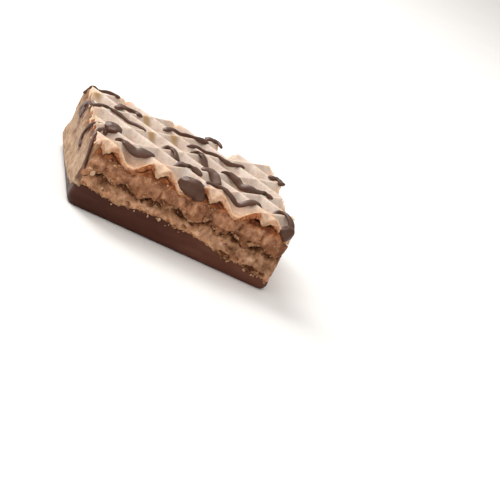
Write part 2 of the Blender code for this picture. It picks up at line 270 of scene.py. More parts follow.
def between(values, share):
    """The value at a share along a row of evenly spaced values, blended smoothly."""
    at = max(0.0, min(1.0, share)) * (len(values) - 1)
    index = min(int(at), len(values) - 2)
    part = smooth(0, 1, at - index)
    return values[index] * (1 - part) + values[index + 1] * part


def around(place, front, right, back, left):
    """Blends four values by the side of the block that a point lies on."""
    way = outward(place)
    return (front * max(0.0, -way.y) ** 2 + right * max(0.0, way.x) ** 2
            + back * max(0.0, way.y) ** 2 + left * max(0.0, -way.x) ** 2)


def lip_height(place):
    """How high the chocolate stands at a point of the side."""
    along = place.x / LENGTH + 0.5
    depth = place.y / WIDTH + 0.5
    height = around(place, between(FRONT_LIP, along), between(RIGHT_LIP, depth),
                    between(BACK_LIP, along), between(LEFT_LIP, depth)) * MM
    return height + LIP_RAGGED * wobble(place, LIP_RAGGED_SIZE, 5, 4.0)


def dip_row(out, lift, share):
    """A row of the chocolate wall: a fixed height plus a share of the lip's height."""
    def row(place):
        height = lift + share * lip_height(place)
        flow = wobble(place + Vector((0, 0, 3 * height)), FLOW_SIZE, 2, 8.0)
        return out + FLOW_DEPTH * flow * min(1.0, height / DIP_FOOT), height
    return row


profile = [dip_row(DIP_OUT - 1.5 * DIP_FOOT, 0.0, 0.0)]
for turn in FOOT_TURNS:
    rounding = math.radians(turn)
    profile.append(dip_row(DIP_OUT - DIP_FOOT * (1 - math.sin(rounding)),
                           DIP_FOOT * (1 - math.cos(rounding)), 0.0))
for step in range(1, WALL_ROWS + 1):
    share = step / WALL_ROWS
    profile.append(dip_row(DIP_OUT, DIP_FOOT * (1 - share) - LIP_ROLL * share, share))
profile += [
    dip_row(DIP_OUT - 0.07 * MM, -0.10 * MM, 1.0), dip_row(DIP_OUT - 0.20 * MM, 0.0, 1.0),
    dip_row(DIP_OUT - 0.42 * MM, -0.03 * MM, 1.0),
    dip_row(DIP_OUT - DIP_THICK, -0.25 * MM, 1.0), dip_row(DIP_OUT - DIP_THICK, DIP_FLOOR, 0.0)]
base = ring_of_edges("chocolate_cup", DIP_CORNER)
stack_rings(base, profile, DIP_CORNER)


def blend(share, first, second, how="MIX"):
    """Mixes two colours by a share. All but the first may be plain values."""
    node = add_node(first, "ShaderNodeMix", {})
    node.data_type = "RGBA"
    node.blend_type = how
    plug(node, {0: share, 6: first, 7: second})
    return node.outputs[2]


def bumps(shader, where, *layers):
    """Fine relief: each layer is its depth in metres, its strength and its grain."""
    sockets = {}
    for depth, strength, *size in layers:
        sockets.update({"Height": grain(where, *size), "Distance": depth, "Strength": strength})
        sockets["Normal"] = add_node(shader, "ShaderNodeBump", sockets).outputs["Normal"]
    plug(shader, {"Normal": sockets["Normal"]})


def times(first, second):
    """Multiplies two colours."""
    return blend(1.0, first, second, "MULTIPLY")


def axis_of(where, axis):
    """One of the three coordinates of a place."""
    return add_node(where, "ShaderNodeSeparateXYZ", {"Vector": where}).outputs[axis]


def share_of(value, low, high):
    """0 where a value is low, 1 where it is high."""
    sockets = {"Value": value, "From Min": low, "From Max": high}
    return add_node(value, "ShaderNodeMapRange", sockets).outputs["Result"]


chocolate, shader, where = finish_of("dipped dark chocolate", 0.5, 0.16)
tone = ramp(grain(where, 7 * MM, 3.0, 0.6, (0.4, 0.4, 1.6)), (0.30, (0.066, 0.019, 0.010)),
            (0.55, (0.088, 0.028, 0.016)), (0.75, (0.120, 0.044, 0.027)))
# Painted shade and light: the chocolate is darker towards the left end and lighter towards the
# right, as the light falls on it.
tone = times(tone, ramp(share_of(axis_of(where, "X"), -LENGTH / 2, LENGTH / 4),
                        (0.0, (0.56, 0.50, 0.47)), (1.0, (1.20, 1.22, 1.20))))
dust = ramp(grain(where, 0.5 * MM, 3.0, 0.7), (0.68, 0.0), (0.80, 0.35))
plug(shader, {"Base Color": blend(dust, tone, (0.22, 0.11, 0.06))})
bumps(shader, where, (0.25 * MM, 0.5, 2.5 * MM, 3.0), (0.05 * MM, 0.5, 0.35 * MM, 4.0))
set_down(base, chocolate)
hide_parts("chocolate_base")
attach(base, "root")


# The bottom wafer ------------------------
# A thin baked sheet, pressed into diamonds of ridges between two hot plates, and hollow
# under them. Its broken edge lies behind the cream and the chocolate that cover it, deep
# in the small dark hollows above the lip.
DIAMOND = 13.3 * MM
PITCH = DIAMOND / math.sqrt(2)
RIDGE_HALF = 2.6 * MM
CREST_ROUND = 0.32 * MM
INNER_RIDGE = 2.5 * MM
BOTTOM_CROSSING = (10.9 * MM, 3.3 * MM)
BOTTOM_FLOOR = 1.5 * MM
BOTTOM_THICK = 0.85 * MM
INSIDE_DIP = 0.85 * MM
SHEET_SPAN = 10
EDGE_ZONE = 1.5 * MM
EDGE_SKIN = 0.25 * MM
RIM_SWING = 0.7
WHOLE_EDGE = 1.05
PEAK_MIDDLE = 0.6 * MM
PEAK_REACH = (2.3 * MM, 1.3 * MM)
# Painted light: how far a warm glow reaches in from the front and from the other sides.
FRONT_GLOW_REACH = 7.5 * MM
SIDE_GLOW_REACH = 3.0 * MM
SHEET_MARKS = ("sawn", "broken", "raised", "painted_pit_shade", "rim")


def ridge(distance):
    """Height of one family of ridges: 1 on a rounded crest, 0 on the pit floor."""
    away = abs((distance + PITCH / 2) % PITCH - PITCH / 2)
    away = math.sqrt(away ** 2 + CREST_ROUND ** 2) - 0.7 * CREST_ROUND
    height = 1 - away / RIDGE_HALF
    return (height + math.sqrt(height ** 2 + 0.006)) / 2


def waffle(place, crossing):
    """Height of the waffle, from 0 to 1, softened where two ridges cross.

    The ridges of a real sheet are not quite straight, so they wander a little."""
    wander = 0.28 * MM * noise.noise(place / (7 * MM) + Vector((0, 0, 40)))
    from_x = place.x + LENGTH / 2 - crossing[0] + wander
    from_y = place.y + WIDTH / 2 - crossing[1] - 0.7 * wander
    first = ridge((from_x - from_y) / math.sqrt(2))
    second = ridge((from_x + from_y) / math.sqrt(2))
    return (first + second + math.sqrt((first - second) ** 2 + 0.004)) / 2


def scored_slab(name, crossing, cells, rows, inset):
    """A flat slab one unit thick, its faces in line with the ridges, cut to the block."""
    half_x = LENGTH / 2 - inset
    half_y = WIDTH / 2 - inset
    near_x = (crossing[0] - LENGTH / 2 + DIAMOND / 2) % DIAMOND - DIAMOND / 2
    near_y = (crossing[1] - WIDTH / 2 + DIAMOND / 2) % DIAMOND - DIAMOND / 2
    bpy.ops.object.select_all(action="DESELECT")
    bpy.ops.mesh.primitive_grid_add(
        x_subdivisions=cells * SHEET_SPAN, y_subdivisions=cells * SHEET_SPAN,
        size=SHEET_SPAN * PITCH)
    piece = bpy.context.object
    piece.name = name
    go_to("EDIT")
    bpy.ops.transform.rotate(value=math.radians(45), orient_axis="Z", center_override=(0, 0, 0))
    bpy.ops.transform.translate(value=(near_x, near_y, 1))
    chamfer = CORNER * 0.8
    for way_x, way_y in ((1, 0), (-1, 0), (0, 1), (0, -1), (1, 1), (1, -1), (-1, 1), (-1, -1)):
        edge = Vector((way_x * half_x, way_y * half_y, 0))
        if way_x and way_y:
            edge -= Vector((way_x, way_y, 0)) * chamfer / 2
        bpy.ops.mesh.select_all(action="SELECT")
        bpy.ops.mesh.bisect(
            plane_co=edge, plane_no=(way_x, way_y, 0), clear_outer=True, threshold=0.001 * MM)
    bpy.ops.mesh.select_all(action="SELECT")
    bpy.ops.mesh.remove_doubles(threshold=0.08 * MM)
    bpy.ops.mesh.duplicate_move(TRANSFORM_OT_translate={"value": (0, 0, -1)})
    bpy.ops.mesh.flip_normals()
    bpy.ops.mesh.select_all(action="DESELECT")
    bpy.ops.mesh.select_mode(type="EDGE")
    bpy.ops.mesh.select_non_manifold(extend=False)
    go_to("OBJECT")
    for vert in piece.data.vertices:
        vert.select = vert.select and vert.co.z > 0.5
    for edge in piece.data.edges:
        edge.select = all(piece.data.vertices[index].select for index in edge.vertices)
    go_to("EDIT")
    for _ in range(rows):
        bpy.ops.mesh.extrude_region_move(TRANSFORM_OT_translate={"value": (0, 0, -1 / rows)})
    bpy.ops.mesh.select_mode(type="VERT")
    bpy.ops.mesh.select_all(action="SELECT")
    bpy.ops.mesh.remove_doubles(threshold=0.005 * MM)
    go_to("OBJECT")
    return piece


def to_side(place):
    """How far a point lies inside the nearest cut side."""
    return min(LENGTH / 2 - abs(place.x), WIDTH / 2 - abs(place.y))


def in_mm(place):
    """Millimetres to the right of the block's front left corner, behind it and up."""
    return (place.x + LENGTH / 2) / MM, (place.y + WIDTH / 2) / MM, place.z / MM


def keep_marks(piece, names):
    """Room for a value of each name at every point of a piece, for its colours."""
    for name in names:
        piece.data.attributes.new(name, "FLOAT", "POINT")
    return [piece.data.attributes[name].data for name in names]


def left_of_ridges(place, chips):
    """The share of the ridges' height left at a point, once chips have broken off."""
    left = 1.0
    x, y, _ = in_mm(place)
    for middle_x, middle_y, half_x, half_y, loss in chips:
        away = math.hypot((x - middle_x) / half_x, (y - middle_y) / half_y)
        away += 0.3 * wobble(place, 1.5 * MM, 2, 51.0)
        left *= 1 - loss * smooth(1.1, 0.6, away)
    return left


def press_waffle(piece, crossing, floor, thick, height, inset, ragged, rim=0.0,
                 chips=(), shade_spots=()):
    """Gives a scored slab its waffle, its thickness and its broken edge. Five values are kept
    at every point for the colours: how near it is to the sawn edge, how near to its broken part
    or to the underside, how high it lies between pit and crest, how much painted shade it gets
    in the far corners of pits, and how near it lies to the border, which gets a painted warm
    glow. A rim is the upper share of the edge that keeps the colour of the skin. It is wider to
    the right of a crossing, and covers the whole edge close to one."""
    sawn, broken, raised, painted_pit_shade, painted_glow = keep_marks(piece, SHEET_MARKS)
    for vert in piece.data.vertices:
        place = Vector((vert.co.x, vert.co.y, 0))
        share = vert.co.z
        lift = waffle(place, crossing) * left_of_ridges(place, chips)
        from_left = place.x + LENGTH / 2
        beside = (from_left - crossing[0] + DIAMOND / 2) % DIAMOND - DIAMOND / 2
        pale = rim * (1 + RIM_SWING * math.sin(math.tau * beside / DIAMOND))
        if rim:
            pale += (WHOLE_EDGE - pale) * smooth(*PEAK_REACH, abs(beside - PEAK_MIDDLE))
        top = floor + thick + height * lift
        top += 0.10 * MM * wobble(place, 9 * MM, 2, 1.0)
        low = max(floor, top - 1.25 * thick)
        inside = to_side(place) - inset
        level = low + share * (top - low)
        if inside < EDGE_ZONE:
            near = 1 - inside / EDGE_ZONE
            chip = wobble(place + Vector((0, 0, level)), 1.1 * MM, 4, 3.0)
            push = ragged * (chip - 0.3 * math.sin(math.pi * share)) * near
            place += outward(place) * push
            level += ragged * near * (1.3 - share) * wobble(place, 0.9 * MM, 3, 6.0)
        at_edge = max(0.0, 1 - inside / EDGE_SKIN)
        sawn[vert.index].value = at_edge * smooth(0.95, 0.60, share)
        at_edge *= max(smooth(1.0 - pale, 0.85 - pale, share), 0.15 * smooth(0.90, 0.60, share))
        broken[vert.index].value = max(at_edge, 1.0 if share < 0.01 else 0.0)
        raised[vert.index].value = lift
        # Painted glow, strongest along the front.
        painted_glow[vert.index].value = max(
            smooth(FRONT_GLOW_REACH, 0.0, place.y + WIDTH / 2),
            0.7 * smooth(SIDE_GLOW_REACH, 0.0, to_side(place)))
        for middle_x, middle_y, reach in shade_spots:
            away = math.hypot(from_left / MM - middle_x, in_mm(place)[1] - middle_y)
            painted_pit_shade[vert.index].value += smooth(reach, 0.3 * reach, away)
        vert.co = Vector((place.x, place.y, level))
    point_outwards(piece)


def mark_of(where, name):
    """A value that was kept at every point of the mesh."""
    node = add_node(where, "ShaderNodeAttribute", {})
    node.attribute_name = name
    return node.outputs["Fac"]


def baked(name, skin, edge, glow):
    """A wafer finish: freckled skin with a dark crumbly broken edge, and painted light and
    shade in three marks. The third colour of a skin is painted into its pits: painted light on
    the pale top sheet, painted shade on the brown inner sheets. A warm painted glow lies along
    the border, and painted shade in the far corners of some pits."""
    made, shader, where = finish_of(name, 0.7, 0.3)
    sawn, broken, raised, painted_pit_shade, rim = (mark_of(where, mark) for mark in SHEET_MARKS)
    top = ramp(grain(where, 4 * MM, 4.0), (0.3, skin[0]), (0.7, skin[1]))
    top = times(
        top, ramp(grain(where, 0.55 * MM, 3.0, 0.6), (0.34, (0.90, 0.85, 0.79)), (0.52, 1.03)))
    # The third skin colour is painted into the pits: painted light on the pale sheet, painted
    # shade on the inner sheets.
    top = times(top, ramp(raised, (0.05, skin[2]), (0.60, 1.0)))
    # Painted light: a warm glow along the border of the sheet, where light shines through it.
    top = times(top, ramp(rim, (0.0, 1.0), (0.5, RIM_GLOW_TINTS[0]), (1.0, RIM_GLOW_TINTS[1])))
    # Painted shade in the far corners of some pits.
    top = blend(painted_pit_shade, top, PIT_SHADE_COLOUR)
    warm = ramp(
        grain(where, 1.6 * MM, 3.0), (0.38, (0.70, 0.56, 0.46)), (0.60, (0.95, 0.88, 0.82)))
    top = blend(sawn, top, times(top, warm))
    crumb = ramp(
        grain(where, 0.9 * MM, 5.0, 0.65), (0.32, edge[0]), (0.5, edge[1]), (0.68, edge[2]))
    plug(shader, {"Base Color": blend(broken, top, crumb), "Subsurface Weight": glow,
                  "Subsurface Radius": (1.0, 0.55, 0.28), "Subsurface Scale": 1.2 * MM})
    bumps(shader, where, (0.12 * MM, 0.5, 1.1 * MM, 4.0), (0.04 * MM, 0.5, 0.22 * MM, 4.0))
    return made


# Painted shade colour for the far corners of pits.
PIT_SHADE_COLOUR = (0.49, 0.32, 0.165)
# Painted glow tints for the border of the sheet.
RIM_GLOW_TINTS = ((1.10, 1.02, 0.95), (1.12, 0.93, 0.77))
# The third colour of this skin is painted shade for the pits.
BROWN_SKIN = ((0.40, 0.22, 0.11), (0.50, 0.29, 0.15), (0.80, 0.70, 0.60))
BROWN_EDGE = ((0.16, 0.07, 0.03), (0.38, 0.19, 0.095), (0.55, 0.31, 0.17))
bottom_sheet = scored_slab("bottom_wafer_sheet", BOTTOM_CROSSING, 16, 4, INSIDE_DIP)
press_waffle(bottom_sheet, BOTTOM_CROSSING, BOTTOM_FLOOR, BOTTOM_THICK, INNER_RIDGE,
             INSIDE_DIP, 0.15 * MM)
inner_wafer = baked("baked inner wafer", BROWN_SKIN, BROWN_EDGE, 0.1)
set_down(bottom_sheet, inner_wafer)
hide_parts("lower_wafer")
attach(bottom_sheet, "root")


# The lower cream -------------------------
# Dry cocoa cream, spread on the bottom sheet and pressed level. The saw left its sides
# grainy and full of small pits, and it has crept into some hollows of the next sheet.
LOWER_CREAM_TOP = 7.2 * MM
LIP_INSET = 0.38 * MM
HOLLOW_DEPTH = 0.42 * MM
HOLLOW_REACH = 1.6
LUMP_SIZE = 2.9 * MM
LUMP_DEPTH = 0.80 * MM
GRAIN_SIZE = 1.0 * MM
GRAIN_DEPTH = 0.11 * MM
PIT_SIZE = 1.4 * MM
PIT_DEPTH = 0.8 * MM
CREAM_ROWS = 24
SCORCH = (12.2 * MM, 13.5 * MM)
SCORCHED = ((0.135, 0.030, 0.006), (0.38, 0.128, 0.042))
SEAM_WANDER = 2.0 * MM
SEAM = (7.0 * MM, 13.0 * MM)
SHEET_GAP = 0.05 * MM
LEAST_SKIRT = 0.65 * MM
SKIRT_OVERLAP = 0.7 * MM
HEAP_BREAK = (0.25 * MM, 0.75 * MM)
CREAM_MARKS = ("deep", "low_down", "tone")
TONE_SPOTS = (
    (1.2, 12.3, 1.7, 1.5, 1.0), (1.5, 8.9, 1.2, 1.1, 0.8), (4.2, 10.6, 1.3, 1.5, 0.3),
    (22.2, 11.0, 1.4, 1.2, 0.25), (36.0, 12.6, 2.0, 0.6, 0.3), (43.0, 12.6, 1.2, 0.7, 0.4),
    (28.2, 11.9, 1.2, 1.5, -0.8), (37.2, 9.6, 1.3, 1.3, -0.5), (25.2, 9.5, 1.0, 0.9, -0.5),
    (16.2, 11.0, 1.2, 1.0, -0.3), (49.0, 11.4, 1.2, 2.0, -0.6))
MIDDLE_CROSSING = (7.3 * MM, 3.3 * MM)
MIDDLE_FLOOR = 7.4 * MM
LOWER_HOLLOWS = (
    (31.0, 4.25, 0.7, 0.55, 1.6), (37.4, 3.7, 1.6, 0.65, 2.2), (36.0, 3.9, 0.6, 0.4, 1.4),
    (44.4, 3.3, 1.6, 0.75, 2.4), (26.4, 6.1, 0.6, 0.35, 1.0), (12.6, 5.7, 0.7, 0.35, 1.0),
    (40.6, 4.4, 0.5, 0.4, 1.2), (47.6, 3.4, 0.6, 0.4, 1.4))
CUT_HOLLOWS = (
    (2.5, 10.5, 0.7, 0.5, 1.2), (3.6, 9.3, 1.0, 0.7, 1.4), (4.9, 10.5, 0.7, 0.6, 1.2),
    (5.6, 8.6, 1.4, 0.9, 1.7), (8.0, 9.3, 0.9, 0.6, 1.3), (9.7, 10.2, 0.7, 0.6, 1.2),
    (10.3, 8.7, 1.6, 0.9, 1.9), (7.5, 10.6, 0.9, 0.5, 1.1), (12.6, 8.2, 0.8, 0.5, 1.4),
    (17.0, 8.2, 2.6, 0.65, 2.2), (19.6, 9.4, 0.7, 0.8, 1.5), (23.6, 8.9, 1.6, 1.0, 2.0),
    (21.6, 8.3, 1.0, 0.5, 1.4), (28.8, 8.0, 1.8, 0.6, 1.7), (30.4, 9.5, 0.9, 1.0, 1.7),
    (32.6, 8.6, 0.9, 0.5, 1.2), (38.4, 8.9, 0.9, 1.2, 1.6), (36.4, 9.4, 1.0, 0.5, 1.3),
    (35.0, 8.2, 0.8, 0.4, 1.0), (43.2, 9.0, 2.0, 0.7, 1.9), (46.5, 8.0, 1.4, 0.5, 1.4))


def hollow_depth(place, level, hollows):
    """How deep the small hollows of the front face are at a point of it."""
    if place.y > CORNER - WIDTH / 2:
        return 0.0
    across, up = in_mm(place)[0], level / MM
    deepest = 0.0
    for middle, height, half_wide, half_high, depth in hollows:
        away = math.hypot((across - middle) / half_wide, (up - height) / half_high)
        away += 0.35 * wobble(Vector((across, up, 0)), 0.8, 2, 7.0)
        if away < HOLLOW_REACH:
            share = 0.5 + 0.5 * math.cos(math.pi * min(1.0, max(0.0, away - 0.5) / 1.1))
            deepest = max(deepest, HOLLOW_DEPTH * depth * share)
    return deepest


def tone_at(place):
    """How pale or brown the cream of the front face is: 0.5 is its usual tone."""
    tone = 0.5
    across, depth, up = in_mm(place)
    if depth * MM < 1.5 * CORNER:
        for middle, height, half_wide, half_high, change in TONE_SPOTS:
            away = math.hypot((across - middle) / half_wide, (up - height) / half_high)
            away += 0.25 * wobble(place, 1.2 * MM, 3, 61.0)
            tone += 0.5 * change * smooth(1.35, 0.55, away)
    return tone


def crumbly(place):
    """Roughness of a sawn cream side: rounded lumps, grains and small pits."""
    swell = 0.15 * MM * wobble(place, 4.0 * MM, 3, 1.0)
    bent = place + Vector((1, 0, 1)) * 0.6 * MM * wobble(place, 1.6 * MM, 2, 31.0)
    near = noise.voronoi(bent / LUMP_SIZE)[0]
    lumps = LUMP_DEPTH * (0.22 - min(0.8, near[0]) ** 2)
    near = noise.voronoi(place / GRAIN_SIZE + Vector((7, 3, 5)))[0]
    grains = GRAIN_DEPTH * (0.45 - min(0.9, near[0]))
    fine = 0.05 * MM * wobble(place, 0.6 * MM, 2, 2.0)
    pit = max(0.0, wobble(place, PIT_SIZE, 2, 5.0) - 0.42)
    return swell + lumps + grains + fine - PIT_DEPTH * pit


def cream_layer(name, low, top, flat, skirt, swell, hollows):
    """A closed layer of cream between two height functions, with sawn sides.

    Inside the chocolate its side is set in, and above the lip it comes out flush. A
    skirt is how far the side hangs down over the edge of the sheet below. Away from the
    cut it is flat. How deep every point lies, how near above the lip, and its tone are
    kept for the colours."""
    def row(out, share, hangs=False):
        def height(at):
            bottom = low(at) - skirt(at) * hangs
            return bottom + share * (top(at) - bottom)

        def place_row(place):
            level = height(place + outward(place) * out)
            free = smooth(-0.25 * MM, 0.25 * MM, level - lip_height(place))
            side = swell(place, level) + crumbly(place + Vector((0, 0, level)))
            side -= hollow_depth(place, level, hollows)
            moved = out + free * side - (1 - free) * LIP_INSET
            return moved, height(place + outward(place) * moved)
        return place_row
    profile = [row(-4.0 * MM, 0.0), row(-1.3 * MM, 0.0), row(-0.7 * MM, 0.0)]
    for step in range(CREAM_ROWS + 1):
        share = step / CREAM_ROWS
        profile.append(row(-0.32 * MM * max(0.0, 2 * share - 1) ** 6, share, True))
    profile += [row(-0.8 * MM, 1.0), row(-1.3 * MM, 1.0),
                lambda place: (-1.9 * MM, flat), lambda place: (-4.0 * MM, flat)]
    piece = ring_of_edges(name, CORNER)
    stack_rings(piece, profile, CORNER)
    deep, low_down, tone = keep_marks(piece, CREAM_MARKS)
    for vert in piece.data.vertices:
        inside = CORNER - from_core(vert.co).length
        above = vert.co.z - lip_height(vert.co)
        # Painted shade: darker the further a point lies in from the side.
        deep[vert.index].value = smooth(-0.1 * MM, 0.9 * MM, inside)
        low_down[vert.index].value = smooth(1.9 * MM, 0.7 * MM, above)
        tone[vert.index].value = tone_at(vert.co)
    return piece


def cocoa_cream(name, dark, middle, light):
    """Dry cocoa cream: a mosaic of brown grains, a little waxy. Painted shade darkens it where
    it lies deep in the hollows and in its creases, and painted light brightens its sharp edges.
    It is browner along the middle sheet, paler just above the lip, and paler or browner in
    spots. Near the top sheet it is scorched to a rusty brown."""
    made, shader, where = finish_of(name, 0.75, 0.25)
    fine = grain(where, 1.5 * MM, 3.0, 0.5)
    tone = ramp(fine, (0.28, dark), (0.50, middle), (0.72, light))
    tone = times(
        tone, ramp(grain(where, 3.2 * MM, 2.0), (0.38, (0.64, 0.57, 0.51)), (0.60, 1.10)))
    cells = add_node(
        where, "ShaderNodeTexVoronoi", {"Vector": where, "Scale": 1.0 / (0.9 * MM)})
    tone = times(
        tone,
        ramp(cells.outputs["Color"], (0.1, (0.88, 0.85, 0.82)), (0.9, (1.12, 1.11, 1.10))))
    height = axis_of(where, "Z")
    tone = blend(
        share_of(height, *SCORCH), tone, ramp(fine, (0.35, SCORCHED[0]), (0.65, SCORCHED[1])))
    # Painted shade in the creases and painted light on the sharp edges.
    painted_crease_shading = add_node(where, "ShaderNodeNewGeometry", {}).outputs["Pointiness"]
    tone = times(
        tone, ramp(painted_crease_shading, (0.43, (0.72, 0.62, 0.54)), (0.50, 1.0), (0.60, (1.14, 1.13, 1.12))))
    # The first mark darkens the hollows as painted shade.
    for mark, *stops in (
            (CREAM_MARKS[0], (0.0, (1.04, 1.04, 1.05)), (0.35, (0.84, 0.81, 0.78)),
             (0.9, (0.40, 0.29, 0.20))),
            (CREAM_MARKS[1], (0.0, 1.0), (1.0, (1.22, 1.19, 1.17))),
            (CREAM_MARKS[2], (0.0, (0.48, 0.36, 0.28)), (0.5, 1.0),
             (1.0, (1.55, 1.80, 2.05)))):
        tone = times(tone, ramp(mark_of(where, mark), *stops))
    seam = add_node(where, "ShaderNodeMath", {})
    seam.operation = "MULTIPLY_ADD"
    plug(seam, {0: grain(where, 2 * MM, 3.0), 1: SEAM_WANDER, 2: height})
    tone = times(tone, ramp(share_of(seam.outputs["Value"], *SEAM),
                            (0.15, (1.04, 1.05, 1.06)), (0.32, (0.80, 0.73, 0.63)),
                            (0.58, (0.80, 0.73, 0.63)), (0.78, 1.0)))
    plug(shader, {"Base Color": tone, "Subsurface Weight": 0.08,
                  "Subsurface Radius": (1.0, 0.5, 0.25), "Subsurface Scale": 0.6 * MM})
    bumps(
        shader, where, (0.12 * MM, 0.5, 0.9 * MM, 3.0, 0.6), (0.025 * MM, 0.4, 0.25 * MM, 2.0))
    return made


def left_swell(place, level):
    """The left end of the cream stands out, most towards the back."""
    depth = place.y / WIDTH + 0.5
    return around(place, 0.0, 0.0, 0.0, 0.10 + 0.15 * depth) * MM


def over_sheet(floor, thick, crossing):
    """The height of an inner sheet's upper side, with a hair's gap, at any place."""
    def height(place):
        return floor + thick + SHEET_GAP + INNER_RIDGE * waffle(place, crossing)
    return height


lower_cream_low = over_sheet(BOTTOM_FLOOR, BOTTOM_THICK, BOTTOM_CROSSING)


def lower_cream_skirt(place):
    """Far enough down to start inside the chocolate cup, also over its low lip."""
    return max(LEAST_SKIRT, lower_cream_low(place) - lip_height(place) + SKIRT_OVERLAP)


def lower_cream_top(place):
    """Level, but heaped into the hollow ridges of the sheet above.

    At the cut the heaps have broken away here and there, and left shallow hollows."""
    fill = smooth(-0.5, 0.25, wobble(place, 2.4 * MM, 3, 9.0))
    fill = max(fill, smooth(*HEAP_BREAK, to_side(place)))
    return LOWER_CREAM_TOP + 0.95 * fill * INNER_RIDGE * waffle(place, MIDDLE_CROSSING)


lower_cream = cream_layer(
    "lower_cocoa_cream", lower_cream_low, lower_cream_top, LOWER_CREAM_TOP, lower_cream_skirt,
    left_swell, LOWER_HOLLOWS + CUT_HOLLOWS)
tan_cream = cocoa_cream(
    "tan cocoa cream", (0.28, 0.138, 0.070), (0.44, 0.242, 0.139), (0.61, 0.385, 0.25))
set_down(lower_cream, tan_cream)
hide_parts("lower_cream")
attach(lower_cream, "root")


# The middle wafer ------------------------
# The same baked sheet again, soaked brown by the cream on both sides. It is broken back
# a little from the cut, behind a row of small dark hollows between the creams.
MIDDLE_THICK = 0.9 * MM
MIDDLE_BACK = 0.3 * MM
middle_sheet = scored_slab("middle_wafer_sheet", MIDDLE_CROSSING, 16, 4, MIDDLE_BACK)
press_waffle(middle_sheet, MIDDLE_CROSSING, MIDDLE_FLOOR, MIDDLE_THICK, INNER_RIDGE,
             MIDDLE_BACK, 0.45 * MM)
set_down(middle_sheet, inner_wafer)
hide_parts("middle_wafer")
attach(middle_sheet, "root")


# The upper cream -------------------------
# A second, darker layer of cream between the middle sheet and the top one. It broke
# into lumps at the saw cut, and stands up into the hollows of the top sheet.
UPPER_CREAM_TOP = 12.0 * MM
TOP_CROSSING = (2.7 * MM, 2.1 * MM)
TOP_FLOOR = 12.1 * MM
TOP_RIDGE = 3.5 * MM
UPPER_SKIRT = 1.45 * MM
LUMP_SQUARE = 2.6
LUMP_STAND = 1.2 * MM
TOP_CHIPS = (
    (36.4, 46.6, 2.6, 4.0, 0.75), (50.0, 22.0, 1.4, 2.2, 0.4), (13.0, 47.5, 2.0, 1.5, 0.4),
    (50.0, 41.0, 1.3, 1.8, 0.5))
UPPER_LUMPS = (
    (14.4, 10.8, 3.7, 2.9, 0.60), (21.0, 11.6, 2.8, 1.9, 0.45),
    (34.4, 11.7, 3.4, 2.0, 0.50), (41.0, 11.5, 2.3, 1.9, 0.45),
    (47.0, 11.2, 2.9, 2.4, 0.60), (7.8, 11.2, 2.6, 1.9, 0.40), (27.2, 11.0, 2.2, 2.1, 0.40),
    (2.4, 10.9, 1.8, 1.8, 0.40))
UPPER_HOLLOWS = (
    (29.9, 12.3, 0.7, 0.5, 0.8), (18.2, 10.6, 0.4, 0.9, 0.8), (11.0, 11.9, 0.4, 0.8, 0.7),
    (24.6, 11.3, 0.4, 1.0, 0.7), (5.2, 10.9, 0.4, 0.9, 0.6), (38.2, 11.9, 0.4, 0.9, 0.7),
    (31.0, 10.9, 0.4, 0.8, 0.6), (43.8, 11.6, 0.4, 1.0, 0.7))


def lumpy_front(place, level):
    """Broken lumps with flat faces, standing out of the front face of the cream."""
    swell = left_swell(place, level)
    if place.y < CORNER - WIDTH / 2:
        for middle, height, half_wide, half_high, stand in UPPER_LUMPS:
            away = (abs((in_mm(place)[0] - middle) / half_wide) ** LUMP_SQUARE
                    + abs((level / MM - height) / half_high) ** LUMP_SQUARE)
            away += 0.2 * wobble(place + Vector((0, 0, level)), 1.5 * MM, 2, 15.0)
            swell += LUMP_STAND * stand * smooth(1.30, 0.70, away)
    return swell


def upper_cream_top(place):
    """Level, but half heaped into the hollow ridges of the top sheet."""
    ridges = TOP_RIDGE * waffle(place, TOP_CROSSING) * left_of_ridges(place, TOP_CHIPS)
    room = TOP_FLOOR + ridges - UPPER_CREAM_TOP
    fill = 0.82 + 0.12 * math.sin(math.tau * (place.x / DIAMOND + 0.42))
    fill += 0.22 * wobble(place, 1.6 * MM, 3, 12.0)
    return UPPER_CREAM_TOP + max(0.0, min(0.98, fill)) * (room - 0.1 * MM)


upper_cream = cream_layer(
    "upper_cocoa_cream", over_sheet(MIDDLE_FLOOR, MIDDLE_THICK, MIDDLE_CROSSING),
    upper_cream_top, UPPER_CREAM_TOP, lambda place: UPPER_SKIRT, lumpy_front,
    UPPER_HOLLOWS + CUT_HOLLOWS)
brown_cream = cocoa_cream(
    "brown cocoa cream", (0.27, 0.122, 0.062), (0.40, 0.195, 0.105), (0.56, 0.315, 0.190))
set_down(upper_cream, brown_cream)
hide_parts("upper_cream")
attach(upper_cream, "root")


# The top wafer ---------------------------
# The palest and thickest sheet, with the deepest ridges. Light shines through it, so its crests
# and edges glow, and a warm glow along its border is also painted into its colour. Its broken
# edge is baked to a rusty brown.
TOP_THICK = 1.3 * MM
# The third colour of this skin is painted light for the pits.
PALE_SKIN = ((0.58, 0.470, 0.40), (0.78, 0.685, 0.61), (1.18, 1.07, 0.97))
# Spots of painted shade in the far corners of pits: across, back and reach, in mm.
PIT_SHADE_SPOTS = ((14.4, 39.6, 2.0), (14.9, 26.7, 1.9), (21.1, 33.2, 2.1), (1.0, 40.4, 2.0))
RUSTY_EDGE = ((0.15, 0.034, 0.008), (0.36, 0.115, 0.036), (0.60, 0.31, 0.15))
top_sheet = scored_slab("top_wafer_sheet", TOP_CROSSING, 30, 7, 0.0)
press_waffle(top_sheet, TOP_CROSSING, TOP_FLOOR, TOP_THICK, TOP_RIDGE, 0.0, 0.42 * MM,
             0.45, TOP_CHIPS, PIT_SHADE_SPOTS)
set_down(top_sheet, baked("pale baked wafer", PALE_SKIN, RUSTY_EDGE, 0.42))
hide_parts("top_wafer")
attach(top_sheet, "root")


